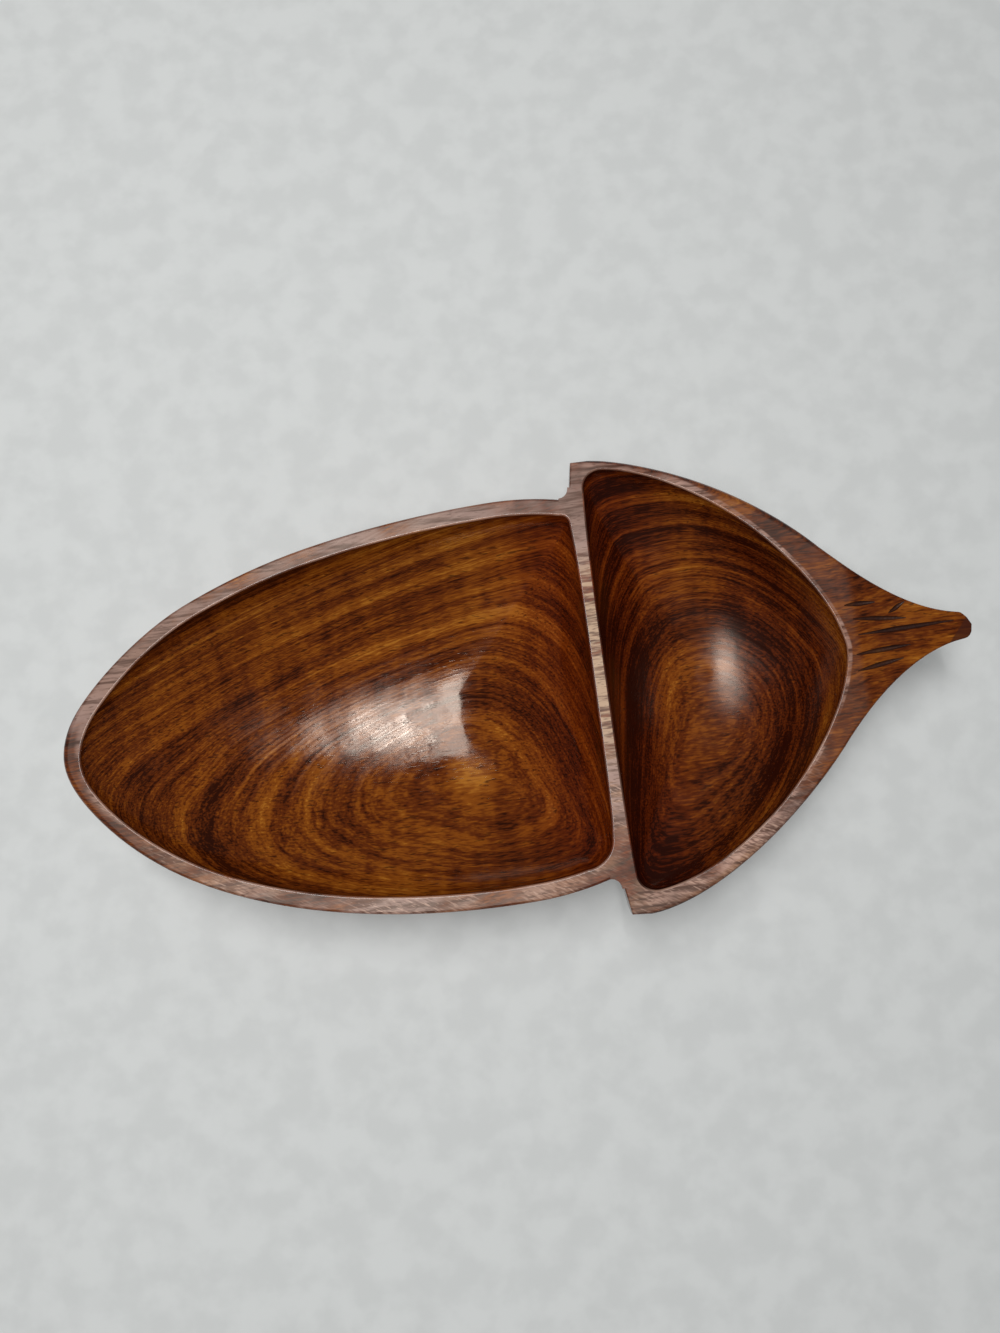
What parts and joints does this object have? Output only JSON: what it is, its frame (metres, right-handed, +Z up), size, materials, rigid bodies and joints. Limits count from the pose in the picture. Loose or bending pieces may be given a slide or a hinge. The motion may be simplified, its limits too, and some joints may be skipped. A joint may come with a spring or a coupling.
{
  "type": "divided serving bowl",
  "caption": "Acorn-shaped wooden serving bowl with a long oval hollow, a wedge-shaped hollow behind a thin divider, and a pointed stem handle.",
  "frame": {"origin": "centre of the bounding box in plan, on the surface that the bowl rests on", "axes": "+X along the bowl from the nut's rounded tip to the stem, +Y across it, +Z up to the rim"},
  "size_m": [0.4, 0.1992, 0.054],
  "materials": {
    "wood": "satin"
  },
  "bodies": {
    "root": {"nut_bowl": "wood", "divider": "wood", "cap_bowl": "wood", "stem": "wood"}
  },
  "joints": []
}
